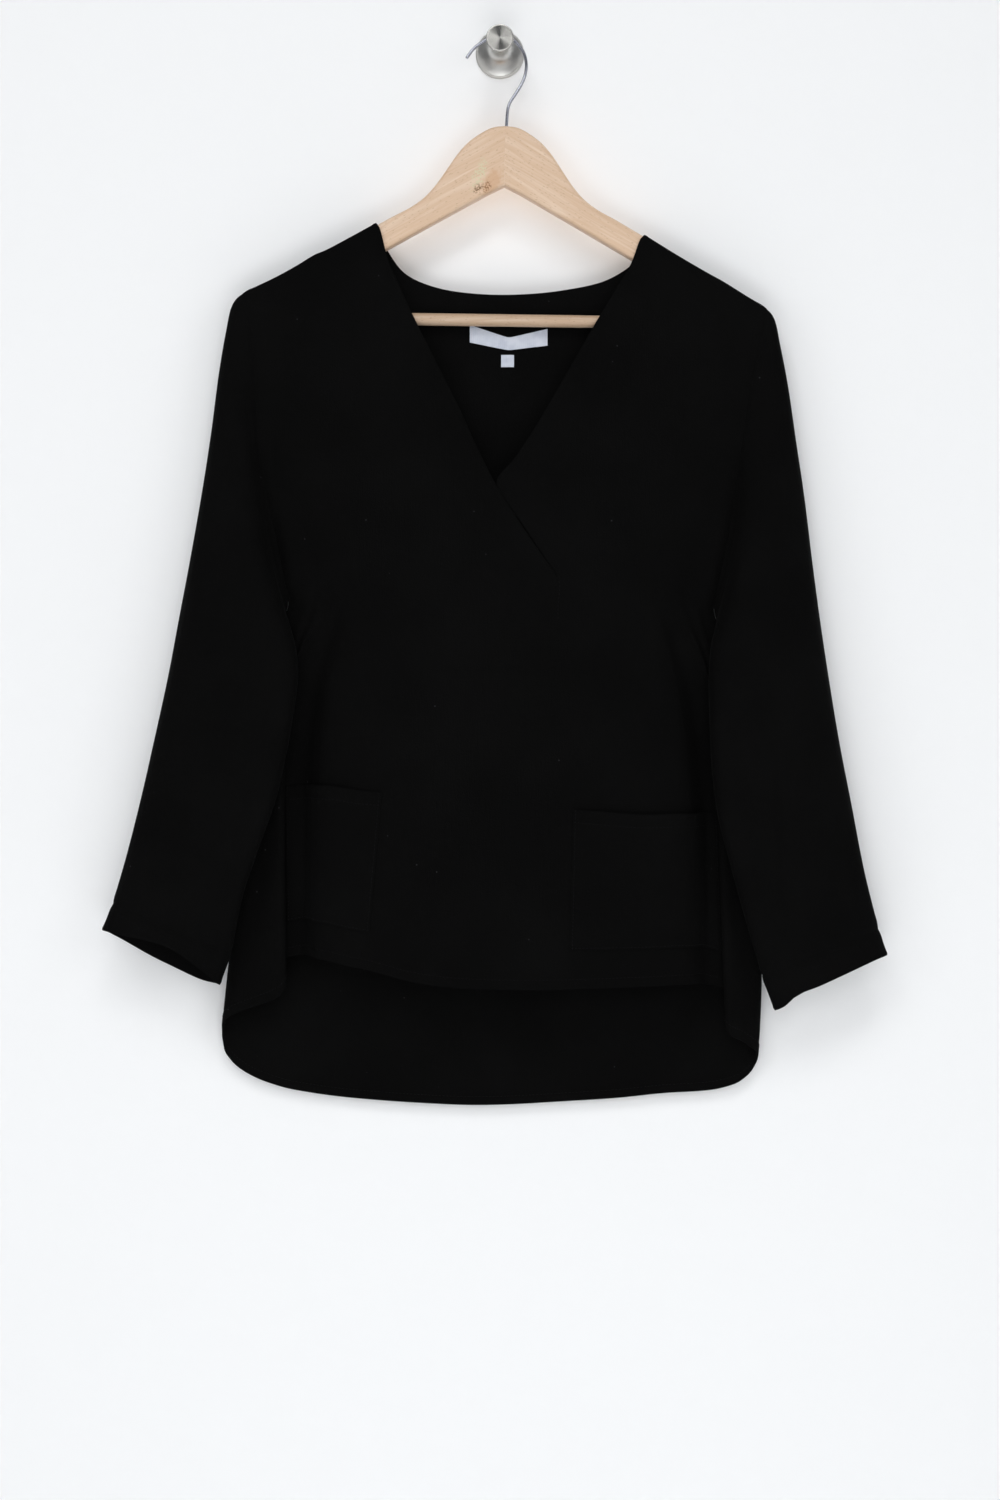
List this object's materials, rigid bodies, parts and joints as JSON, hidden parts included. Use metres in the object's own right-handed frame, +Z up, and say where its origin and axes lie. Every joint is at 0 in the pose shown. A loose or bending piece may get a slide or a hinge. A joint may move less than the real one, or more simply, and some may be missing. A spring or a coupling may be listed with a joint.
{
  "type": "wrap top on hanger and wall hook",
  "caption": "Long-sleeved black crepe wrap-front top with patch pockets and a longer back, hung on a beech hanger from a round steel wall hook.",
  "frame": {"origin": "centre of the wall plate's flat back face, where the wall hook meets the wall", "axes": "+Z up along the hanging length, +Y into the wall, +X the viewer's right, which is the wearer's left"},
  "size_m": [0.664, 0.0756, 0.9264],
  "materials": {
    "crepe": "matte black polyester crepe with a fine pebbled surface",
    "label": "white woven satin tape, bare",
    "beech": "clear lacquered light beech",
    "hook_wire": "chromed steel wire",
    "wall_steel": "turned and brushed stainless steel"
  },
  "bodies": {
    "root": {"front": "crepe", "back": "crepe", "sleeve_right": "crepe", "sleeve_left": "crepe", "cuff_right": "crepe", "cuff_left": "crepe", "pocket_right": "crepe", "pocket_left": "crepe", "underlap": "crepe", "neck_label": "label", "size_tab": "label", "hanger_arm_right": "beech", "hanger_arm_left": "beech", "hanger_bar": "beech", "hanger_hook": "hook_wire", "wall_plate": "wall_steel", "wall_knob": "wall_steel"}
  },
  "joints": []
}
